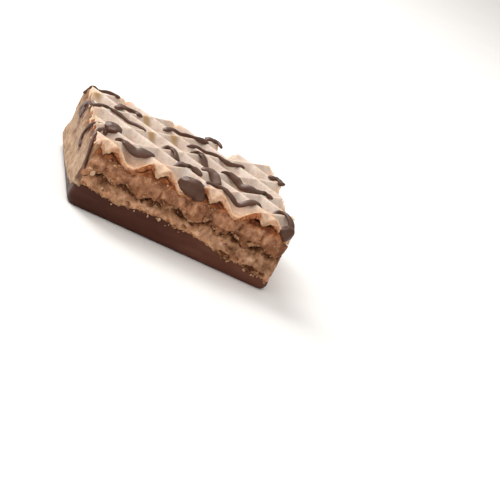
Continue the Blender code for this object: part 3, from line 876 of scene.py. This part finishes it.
# The smeared left end --------------------
# The saw dragged cream over this end of the block, so that one smooth tan skin hides
# the edges of the layers. It bulges most low down towards the back, and the chocolate
# that ran down it has stained it brown.
SMEAR_BULGE = (0.45, 0.70, 0.95, 1.0, 0.65, 0.65, 0.80, 0.80, 0.60, 0.30)
SMEAR_THICK = 0.9 * MM
SMEAR_GRID = (190, 72)
# Heights between which the end darkens to painted shade.
SMEAR_SHADED_HEIGHTS = (11.0 * MM, 13.5 * MM)
STAIN_BROWN = (0.120, 0.052, 0.030)
SMEAR_STAINS = (
    (1.5, 0.90, ((15.4, 9.4), (18.0, 10.3), (18.7, 11.6), (16.8, 14.0), (15.0, 16.0))),
    (2.3, 0.90, ((33.6, 11.6), (36.6, 12.2), (36.0, 13.8), (32.6, 15.4))),
    (1.8, 0.65, ((31.0, 8.6), (34.0, 11.2))),
    (1.2, 0.90, ((1.2, 6.4), (1.0, 9.4), (1.9, 13.0), (4.6, 15.4))))
bpy.ops.object.select_all(action="DESELECT")
bpy.ops.mesh.primitive_grid_add(
    x_subdivisions=SMEAR_GRID[0], y_subdivisions=SMEAR_GRID[1], size=1)
smear = bpy.context.object
smear.name = "smeared_left_end"
for vert in smear.data.vertices:
    across = vert.co.x + 0.5
    up = vert.co.y + 0.5
    place = Vector((-LENGTH / 2, (across - 0.5) * (WIDTH - 0.6 * MM), 0))
    low = lip_height(place) - 0.3 * MM
    high = (
        TOP_FLOOR + 0.25 * MM + TOP_RIDGE * waffle(place, TOP_CROSSING)
        + 0.8 * MM * smooth(0.75, 0.95, across) + 0.3 * MM * wobble(place, 2.5 * MM, 3, 21.0))
    level = low + up * (high - low)
    spot = place + Vector((0, 0, level))
    bulge = between(SMEAR_BULGE, level / (15 * MM)) * (0.35 + 0.65 * across)
    bulge += 0.22 * wobble(spot, 3.5 * MM, 3, 22.0) + 0.09 * wobble(spot, 0.9 * MM, 3, 23.0)
    bulge -= 0.6 * max(0.0, wobble(spot, 1.7 * MM, 2, 24.0) - 0.40)
    edge = min(smooth(0.0, 0.03, across), smooth(1.0, 0.985, across), smooth(1.0, 0.93, up))
    out = (0.12 + bulge) * edge - 0.35 * (1 - edge)
    out = out * smooth(-0.05, 0.06, up) + 0.1 * (1 - smooth(-0.05, 0.06, up))
    vert.co = place + Vector((-out * MM, 0, level))
skin = smear.modifiers.new("thickness", "SOLIDIFY")
skin.thickness = SMEAR_THICK
skin.offset = 1.0
bpy.ops.object.modifier_apply(modifier="thickness")
point_outwards(smear)
stain, = keep_marks(smear, ["stain"])
for vert in smear.data.vertices:
    spot = Vector((*in_mm(vert.co)[1:], 0))
    ragged = 0.35 * wobble(spot, 1.3, 3, 71.0)
    for half, strength, route in SMEAR_STAINS:
        for begin, end in zip(route, route[1:]):
            begin, end = Vector((*begin, 0)), Vector((*end, 0))
            share = max(
                0.0, min(1.0, (spot - begin).dot(end - begin) / (end - begin).length_squared))
            away = (spot - begin.lerp(end, share)).length / half + ragged
            stain[vert.index].value = max(
                stain[vert.index].value, strength * smooth(1.25, 0.35, away))

smeared, shader, where = finish_of("smeared tan cream", 0.6, 0.25)
tone = ramp(
    grain(where, 1.6 * MM, 5.0, 0.6, (1.0, 0.4, 1.0)), (0.34, (0.24, 0.130, 0.067)),
    (0.50, (0.355, 0.220, 0.127)), (0.66, (0.465, 0.307, 0.195)))
specks = ramp(grain(where, 1.1 * MM, 2.0, 0.6, (1.0, 0.6, 1.0)), (0.64, 0.0), (0.76, 0.5))
tone = blend(specks, tone, (0.22, 0.110, 0.055))
# Painted shade: the top of the end is darker brown, under the crests of the top sheet.
painted_crest_shade = ramp(
    grain(where, 1.6 * MM, 4.0), (0.40, (0.17, 0.068, 0.028)), (0.60, (0.36, 0.205, 0.110)))
tone = blend(share_of(axis_of(where, "Z"), *SMEAR_SHADED_HEIGHTS), tone, painted_crest_shade)
tone = blend(mark_of(where, "stain"), tone, STAIN_BROWN)
plug(shader, {"Base Color": tone, "Subsurface Weight": 0.15,
              "Subsurface Radius": (1.0, 0.55, 0.3), "Subsurface Scale": 0.8 * MM})
bumps(
    shader, where, (0.16 * MM, 0.6, 0.8 * MM, 4.0, 0.55, (1.0, 0.5, 1.0)),
    (0.04 * MM, 0.5, 0.25 * MM, 3.0))
set_down(smear, smeared)
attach(smear, "root")


# The chocolate drizzle -------------------
# Thin threads of dark chocolate were swung across the finished block. They sag over the
# pits, bend over the crests, and some ran down the cut sides before they set.
THREAD_FLAT = 0.62
THREAD_HIGHEST = 0.50 * MM
THREAD_LIFT = 0.12 * MM
FINE_STEP = 0.4 * MM
TUBE_SIDES = 14
TUBE_SWELL = 0.22
TUBE_CLOSED = 0.35
DROP_DENT = 0.14
MELT_GRAIN = 0.16 * MM
MELT_SOFTENED = 4
SLOPE_REACH = 0.7 * MM
THREADS = (
    (1.4, 0.05, ((-1.1, 45.0, 13.0), (-0.9, 45.2, 14.6), (0.1, 45.8, 16.4), (1.6, 46.3),
        (3.6, 46.6), (5.5, 46.2), (7.5, 45.4))),
    (1.3, 0.03, ((-1.00, 33.4, 11.3), (-1.10, 37.2, 12.0), (-1.00, 36.4, 13.8),
        (-0.5, 32.0, 16.0), (0.8, 29.6), (3.0, 30.6), (6.0, 29.8), (9.0, 28.6),
        (11.0, 27.4), (13.2, 25.0))),
    (0.9, 0.11, ((-0.75, 15.4, 9.0), (-0.85, 18.0, 10.2), (-0.85, 18.7, 11.6),
        (-0.75, 16.8, 14.0), (0.2, 15.0, 16.2), (2.2, 14.8))),
    (1.1, 0.11, ((0.20, 0.05, 6.6), (0.10, 0.10, 9.4), (-0.50, 1.6, 13.0),
        (-0.55, 4.4, 15.6), (0.5, 7.6, 16.6), (2.2, 11.0), (3.1, 13.0))),
    (2.2, 0.06, ((6.3, 35.3), (7.8, 38.0), (9.6, 39.2), (11.4, 38.6), (12.6, 36.9))),
    (3.0, 0.11, ((4.4, 6.6), (6.2, 6.4), (8.3, 4.7), (11.0, 4.8), (13.8, 6.9))),
    (1.7, 0.05, ((18.6, 35.2), (20.6, 38.0), (22.8, 40.3), (25.0, 40.6), (27.5, 40.2),
        (31.0, 41.8))),
    (1.3, 0.04, ((30.0, 44.0), (32.2, 46.4), (34.0, 46.2), (34.8, 43.8))),
    (1.8, 0.11, ((16.6, 17.8), (18.4, 19.9), (20.2, 18.4), (21.2, 15.5))),
    (1.4, 0.05, ((24.3, 30.0), (27.1, 32.3), (30.3, 33.6), (33.0, 32.6), (35.0, 31.6),
        (37.5, 32.5), (40.2, 35.2))),
    (2.2, 0.11, ((25.0, 26.2), (26.8, 27.2), (28.3, 26.2), (29.3, 23.0))),
    (2.4, 0.11, ((26.9, 15.5), (28.9, 15.2), (30.3, 13.2), (31.2, 10.5))),
    (2.2, 0.11, ((18.6, 6.0), (20.6, 8.8), (22.7, 10.6), (24.6, 10.4), (26.7, 9.4))),
    (1.8, 0.11, ((27.0, 3.6), (29.4, 5.0), (31.2, 5.0), (33.2, 3.5), (36.0, 3.1),
        (38.4, 4.4), (40.8, 6.6), (42.0, 6.3))),
    (2.1, 0.05, ((32.4, 19.7), (34.8, 20.5), (36.8, 19.0), (38.9, 16.5), (40.9, 16.0),
        (43.3, 17.4), (45.6, 16.6))),
    (1.9, 0.08, ((47.0, 35.8), (48.4, 37.0), (49.6, 36.2), (50.0, 33.8))),
    (1.7, 0.08, ((44.4, 6.0), (46.2, 8.3), (47.8, 7.6), (49.2, 4.6), (49.8, 1.4))))
DROPS = (
    ((4.3, 15.2, 16.4), (2.3, 3.2, 1.25)), ((24.0, 0.8, 15.1), (3.3, 2.2, 2.1)),
    ((-0.75, 35.2, 12.8), (0.35, 1.9, 1.1)), ((26.2, 0.5, 13.9), (1.7, 1.2, 1.4)),
    ((48.3, 0.5, 14.6), (1.7, 1.5, 2.0)), ((31.9, 46.0, 16.6), (1.5, 1.2, 0.8)))


def top_surface(place):
    """Height of the top sheet's upper side above the table."""
    return TOP_FLOOR + TOP_THICK + TOP_RIDGE * waffle(place, TOP_CROSSING)


def thread_curve(points):
    """A smooth curve through a thread's points: places, and heights where given."""
    curve = []
    for k in range(len(points) - 1):
        ends = [points[max(k - 1, 0)], points[k], points[k + 1],
                points[min(k + 2, len(points) - 1)]]
        x0, x1, x2, x3 = (Vector(point[:2]) * MM for point in ends)
        steps = max(2, round((x2 - x1).length / FINE_STEP))
        for step in range(steps):
            t = step / steps
            place = 0.5 * (
                2 * x1 + (x2 - x0) * t + (2 * x0 - 5 * x1 + 4 * x2 - x3) * t ** 2
                + (3 * x1 - x0 - 3 * x2 + x3) * t ** 3)
            height = None
            if len(points[k]) == 3:
                after = points[k + 1][2] if len(points[k + 1]) == 3 else points[k][2]
                height = (points[k][2] * (1 - t) + after * t) * MM
            curve.append((place, height))
    curve.append((Vector(points[-1][:2]) * MM, None))
    corner = Vector((LENGTH / 2, WIDTH / 2))
    return [((place - corner).to_3d(), height) for place, height in curve]


def hung_path(points, sag):
    """Lays a thread over the top sheet: it bends over crests and sags between."""
    curve = thread_curve(points)
    length = [0.0]
    for (before, _), (after, _) in zip(curve, curve[1:]):
        length.append(length[-1] + (after - before).length)
    hung = []
    for k, (_, height) in enumerate(curve):
        if height is None:
            height = max(top_surface(place) - sag / MM * (length[k] - length[j]) ** 2
                         for j, (place, given) in enumerate(curve) if given is None)
        hung.append(height)
    path = []
    for k, (place, _) in enumerate(curve):
        weights = [math.exp(-((along - length[k]) / (2 * FINE_STEP)) ** 2) for along in length]
        height = sum(w * z for w, z in zip(weights, hung)) / sum(weights)
        path.append(place + Vector((0, 0, height + THREAD_LIFT)))
    return path


def slope_at(place):
    """The way that the top sheet faces around a point, evened out over a millimetre."""
    rise_x, rise_y = (
        top_surface(place + step) - top_surface(place - step)
        for step in (Vector((SLOPE_REACH, 0, 0)), Vector((0, SLOPE_REACH, 0))))
    beyond = max(0.0, -place.x - LENGTH / 2) / THREAD_LIFT
    return Vector((-rise_x - beyond * SLOPE_REACH, -rise_y, 2 * SLOPE_REACH)).normalized()


def piece_from(name, verts, faces):
    """A new object made of points and the faces between them."""
    mesh = bpy.data.meshes.new(name)
    mesh.from_pydata(verts, [], faces)
    piece = bpy.data.objects.new(name, mesh)
    bpy.context.scene.collection.objects.link(piece)
    return piece


def add_thread(width, sag, points):
    """One flattened tube of chocolate along its path, as a mesh of its own."""
    path = hung_path(points, sag)
    verts = []
    faces = []
    half = width * MM / 2
    high = min(THREAD_FLAT * half, THREAD_HIGHEST)
    for k, place in enumerate(path):
        ahead = path[min(k + 1, len(path) - 1)] - path[max(k - 1, 0)]
        side = ahead.cross(slope_at(place)).normalized()
        top = side.cross(ahead).normalized()
        share = k / (len(path) - 1)
        closing = min(1.0, TUBE_CLOSED + 8 * min(share, 1 - share))
        swell = closing * (1 + TUBE_SWELL * wobble(place, 2.3 * MM, 2, 9.0))
        for corner in range(TUBE_SIDES):
            angle = math.tau * corner / TUBE_SIDES
            round_off = side * half * math.cos(angle) + top * high * math.sin(angle)
            verts.append(place + swell * round_off)
    for k in range(len(path) - 1):
        for corner in range(TUBE_SIDES):
            after = (corner + 1) % TUBE_SIDES
            low = k * TUBE_SIDES
            faces.append((low + corner, low + after, low + TUBE_SIDES + after,
                          low + TUBE_SIDES + corner))
    faces.append(tuple(reversed(range(TUBE_SIDES))))
    faces.append(tuple(range(len(verts) - TUBE_SIDES, len(verts))))
    return piece_from("thread", verts, faces)


def add_drop(centre, half_sizes):
    """A drop of chocolate: a ball pulled to its sizes and dented a little."""
    bpy.ops.object.select_all(action="DESELECT")
    bpy.ops.mesh.primitive_ico_sphere_add(subdivisions=5, radius=1)
    ball = bpy.context.object
    ball.name = "drop"
    middle = Vector(centre) * MM - Vector((LENGTH / 2, WIDTH / 2, 0))
    for vert in ball.data.vertices:
        swell = 1 + DROP_DENT * noise.noise(vert.co * 1.7 + Vector(centre))
        vert.co = middle + Vector(
            vert.co[axis] * half_sizes[axis] * MM * swell for axis in range(3))
    return ball


pieces = [add_thread(*values) for values in THREADS] + [add_drop(*values) for values in DROPS]
bpy.ops.object.select_all(action="DESELECT")
for piece in pieces:
    piece.select_set(True)
bpy.context.view_layer.objects.active = pieces[0]
bpy.ops.object.join()
drizzle = bpy.context.object
drizzle.name = "chocolate_drizzle"
point_outwards(drizzle)
melt = drizzle.modifiers.new("run together", "REMESH")
melt.mode = "VOXEL"
melt.voxel_size = MELT_GRAIN
soften = drizzle.modifiers.new("soften", "SMOOTH")
soften.factor = 0.5
soften.iterations = MELT_SOFTENED
for modifier in ("run together", "soften"):
    bpy.ops.object.modifier_apply(modifier=modifier)
bpy.ops.object.shade_smooth()

dark, shader, where = finish_of("drizzled dark chocolate", 0.46, 0.36)
plug(shader, {"Base Color": ramp(grain(where, 3 * MM, 3.0), (0.3, (0.070, 0.027, 0.014)),
                                 (0.7, (0.115, 0.048, 0.027)))})
bumps(shader, where, (0.12 * MM, 0.5, 1.2 * MM, 3.0))
set_down(drizzle, dark)
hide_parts("top_wafer")
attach(drizzle, "root")


# The crumbs ------------------------------
# Angular crumbs of wafer and cream that the saw tore loose. They cling to the cut sides,
# thickest where two layers meet, and some pale ones were caught in the setting lip.
CUT_SIDES = (lower_cream, middle_sheet, upper_cream, top_sheet, base, smear)
PALE_SPOTS = (
    (1.2, 9.2), (2.3, 8.8), (1.9, 11.8), (36.2, 12.9), (14.2, 13.0), (18.8, 13.1),
    (30.6, 6.6), (5.8, 12.7), (8.4, 12.9), (3.1, 6.8))
LARGE_CRUMBS = ((2.3, 8.9, 0.95), (1.3, 9.8, 0.45), (15.0, 8.9, 0.30))
BROWN_CRUMBS, BROWN_SIZES = 1000, (0.12, 0.28)
PALE_CRUMBS, PALE_SIZES = 120, (0.10, 0.20)
SPOT_SIZES = (0.14, 0.28)
LIP_CRUMBS = 130
CRUMB_BANDS = ((2.5, 6.8), (6.8, 9.5), (9.5, 12.4), (12.4, 13.2))
BAND_SHARES = (0.30, 0.25, 0.20, 0.25)


def stuck_on(start, way):
    """Where a line first meets a cut side: the place and the way that it faces."""
    nearest = None
    for side in CUT_SIDES:
        hit, place, normal, _ = side.ray_cast(start, way)
        if hit and (nearest is None or (place - start).length < nearest[0]):
            nearest = ((place - start).length, place, normal)
    return nearest[1:] if nearest else None


def scatter(name, spots, draw):
    """Copies one angular crumb to every spot, each turned, stretched and chipped."""
    bpy.ops.object.select_all(action="DESELECT")
    bpy.ops.mesh.primitive_ico_sphere_add(subdivisions=1, radius=1)
    model = bpy.context.object
    corners = [vert.co.copy() for vert in model.data.vertices]
    sides = [tuple(face.vertices) for face in model.data.polygons]
    bpy.data.objects.remove(model)
    verts = []
    faces = []
    for start, way, size in spots:
        found = stuck_on(start + BLOCK_MIDDLE, way)
        if found is None:
            continue
        place, normal = found
        turn = Euler([draw.uniform(0, math.tau) for _ in range(3)]).to_matrix()
        stretch = Vector([draw.uniform(0.6, 1.25) for _ in range(3)]) * size
        first = len(verts)
        for corner in corners:
            chip = 1 + draw.uniform(-0.25, 0.25)
            verts.append(place + normal * size * 0.2 + turn @ (corner * stretch * chip))
        faces += [tuple(first + index for index in side) for side in sides]
    return piece_from(name, verts, faces)


def side_spots(count, sizes, draw):
    """Lines aimed at random places of the cut sides, most of them at the front."""
    spots = []
    for _ in range(count):
        face = draw.choices(("front", "right", "back"), (0.5, 0.3, 0.2))[0]
        low, high = draw.choices(CRUMB_BANDS, BAND_SHARES)[0]
        level = draw.uniform(low, high) * MM
        size = draw.uniform(*sizes) * draw.uniform(0.6, 1.0) * MM
        along = draw.uniform(-0.49, 0.49)
        way = Vector({"front": (0, 1, 0), "back": (0, -1, 0), "right": (-1, 0, 0)}[face])
        start = Vector((along * LENGTH if way.y else LENGTH,
                        -way.y * WIDTH if way.y else along * WIDTH, level))
        if level > lip_height(start) - 0.2 * MM:
            spots.append((start, way, size))
    return spots


def crumb_finish(name, dark, light):
    """A dry matt crumb, each a little different in tone."""
    made, shader, where = finish_of(name, 0.8, 0.2)
    plug(shader, {"Base Color": ramp(grain(where, 1.5 * MM, 3.0), (0.35, dark), (0.65, light))})
    bumps(shader, where, (0.03 * MM, 0.6, 0.2 * MM, 3.0))
    return made


def lip_spots(count, spread, draw):
    """Lines aimed at the lip of the chocolate along the front, where crumbs stuck."""
    spots = []
    for _ in range(count):
        start = Vector((draw.uniform(-0.49, 0.49) * LENGTH, -WIDTH / 2, 0))
        start.z = lip_height(start) + draw.gauss(0.12 * MM, spread)
        start.y -= LENGTH
        spots.append((start, Vector((0, 1, 0)), 0.12 * MM / draw.uniform(0.3, 1.0)))
    return spots


def at_front(x, z, size):
    """A line aimed at a spot of the front face, and the size of its crumb."""
    return Vector((x - LENGTH / 2 / MM, -WIDTH / MM, z)) * MM, Vector((0, 1, 0)), size * MM


draw = random.Random(7)
brown = side_spots(BROWN_CRUMBS, BROWN_SIZES, draw)
brown += lip_spots(LIP_CRUMBS, 0.16 * MM, draw)
brown_crumbs = scatter("brown_crumbs", brown, draw)
brown_crumbs.data.materials.append(
    crumb_finish("brown crumb", (0.26, 0.115, 0.05), (0.56, 0.32, 0.18)))
pale = side_spots(PALE_CRUMBS, PALE_SIZES, draw)
for x, z in PALE_SPOTS:
    for _ in range(2):
        pale.append(at_front(x + draw.uniform(-0.4, 0.4), z + draw.uniform(-0.3, 0.3),
                             draw.uniform(*SPOT_SIZES)))
pale += [at_front(*crumb) for crumb in LARGE_CRUMBS]
pale += lip_spots(LIP_CRUMBS // 8, 0.7 * MM, draw)
pale_crumbs = scatter("pale_crumbs", pale, draw)
pale_crumbs.data.materials.append(
    crumb_finish("pale crumb", (0.46, 0.28, 0.16), (0.70, 0.50, 0.34)))
for piece, slot in ((brown_crumbs, "upper_cream"), (pale_crumbs, "top_wafer")):
    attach(piece, "root")
